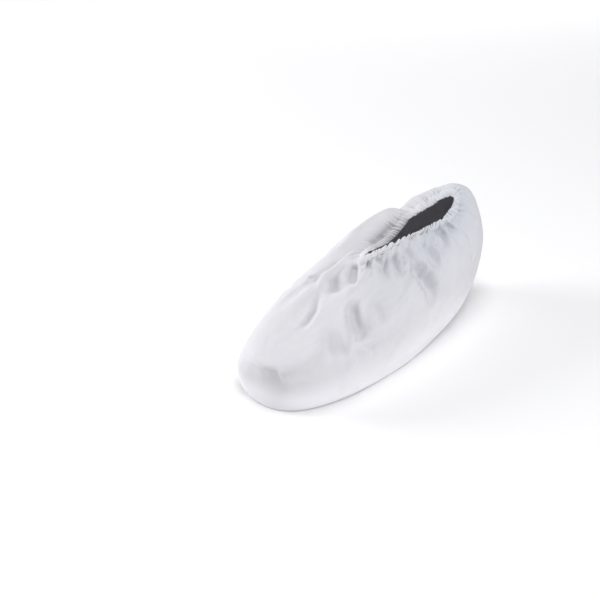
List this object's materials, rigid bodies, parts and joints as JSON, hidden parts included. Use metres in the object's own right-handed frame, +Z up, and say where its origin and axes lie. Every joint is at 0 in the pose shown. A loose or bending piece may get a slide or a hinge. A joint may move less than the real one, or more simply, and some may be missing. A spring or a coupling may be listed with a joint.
{
  "type": "shoe cover",
  "caption": "Disposable non-woven shoe cover, pulled into the form of a low shoe, with a gathered elastic mouth and a flat sole.",
  "frame": {"origin": "centre of the cover's box on the surface that it stands on, at the underside of the sole", "axes": "+Y along the foot towards the heel, so the toe points to -Y; +X to the outer side of the foot; +Z up"},
  "size_m": [0.1151, 0.2993, 0.1108],
  "materials": {
    "upper_cloth": "white spunbond polypropylene non-woven, matt, with a fine bond-point dimple",
    "hem_cloth": "the same white non-woven, turned over and gathered",
    "sole_cloth": "white non-woven with a welded edge",
    "elastic": "off-white flat elastic"
  },
  "bodies": {
    "root": {"upper": "upper_cloth", "hem": "hem_cloth", "sole": "sole_cloth", "elastic": "elastic"}
  },
  "joints": []
}
